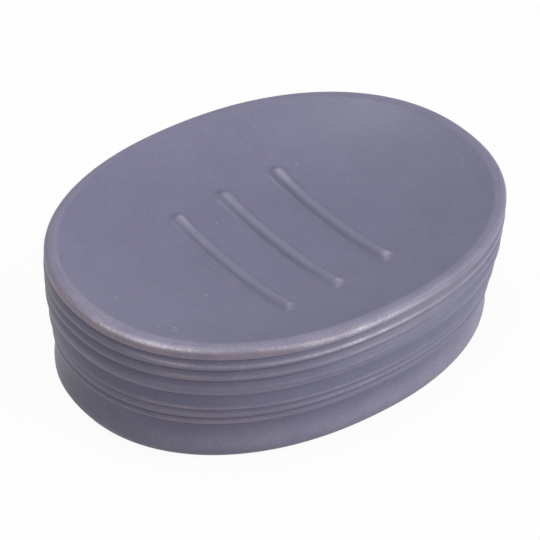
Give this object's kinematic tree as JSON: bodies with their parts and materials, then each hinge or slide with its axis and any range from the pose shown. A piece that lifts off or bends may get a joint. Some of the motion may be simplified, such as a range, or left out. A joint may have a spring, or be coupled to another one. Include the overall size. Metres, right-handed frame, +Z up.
{
  "type": "soap dish",
  "caption": "Oval stoneware soap dish with a banded wall, a shallow bowl with raised soap ribs, and anti-slip pads under its foot.",
  "frame": {"origin": "centre of the plane that the pads stand on", "axes": "+X along the dish, +Y across it, +Z up out of the bowl"},
  "size_m": [0.13, 0.095, 0.0394],
  "materials": {
    "glazed_stoneware": "matt violet-grey glaze over stoneware, paler and pinker where it breaks thin over the edges",
    "silicone": "translucent soft silicone disc, self-adhesive"
  },
  "bodies": {
    "root": {"dish_body": "glazed_stoneware", "foot_pad_front_left": "silicone", "foot_pad_front_right": "silicone", "foot_pad_back_left": "silicone", "foot_pad_back_right": "silicone"}
  },
  "joints": []
}
